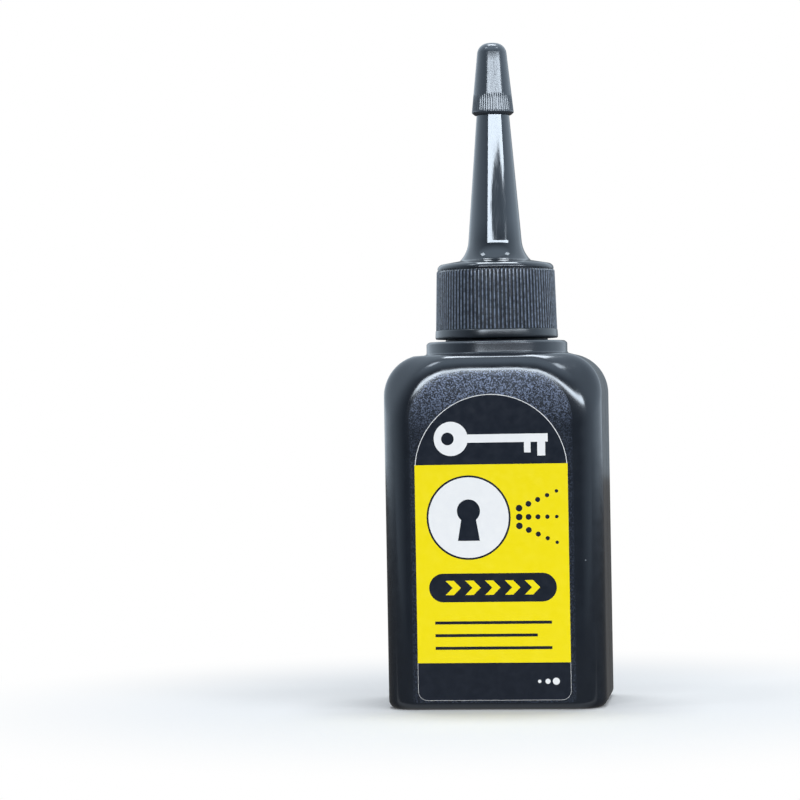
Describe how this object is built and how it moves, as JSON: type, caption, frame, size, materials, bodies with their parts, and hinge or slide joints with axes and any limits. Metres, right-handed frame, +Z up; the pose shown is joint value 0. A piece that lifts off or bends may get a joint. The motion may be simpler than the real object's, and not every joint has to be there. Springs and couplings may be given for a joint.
{
  "type": "graphite lock lubricant bottle",
  "caption": "Rounded rectangular plastic squeeze bottle for graphite powder, with a ribbed screw-on tapered spout, a knurled tip cap and an arched front label.",
  "frame": {"origin": "Middle of the base, on the surface that the bottle stands on.", "axes": "+Z up along the spout, +X to the right of the label as it is read, -Y out of the label."},
  "size_m": [0.04, 0.0321, 0.1225],
  "materials": {
    "bottle": "black polyethylene, finely grained",
    "sealing_washer": "closed-cell foam",
    "spout_cap": "black polyethylene, polished spout",
    "tip_cap": "black polyethylene, satin",
    "front_label": "printed film label",
    "graphite_powder": "loose fine graphite powder"
  },
  "bodies": {
    "bottle": {"bottle": "bottle", "front_label": "front_label", "graphite_powder": "graphite_powder"},
    "seal": {"sealing_washer": "sealing_washer"},
    "spout_cap": {"spout_cap": "spout_cap"},
    "tip_cap": {"tip_cap": "tip_cap"}
  },
  "joints": [
    {"name": "cap_rise", "type": "slide", "parent": "bottle", "child": "seal", "axis": [0, 0, 1], "range_m": [0, 0.0048]},
    {"name": "cap_turn", "type": "hinge", "parent": "seal", "child": "spout_cap", "pos_m": [0, 0, 0.0803], "axis": [0, 0, 1], "range_deg": [0, 540]},
    {"name": "tip_pull", "type": "slide", "parent": "spout_cap", "child": "tip_cap", "axis": [0, 0, 1], "range_m": [0, 0.014]}
  ],
  "couplings": [
    {"joint": "cap_rise", "follows": "cap_turn", "m_per_rad": 0.00050532}
  ]
}
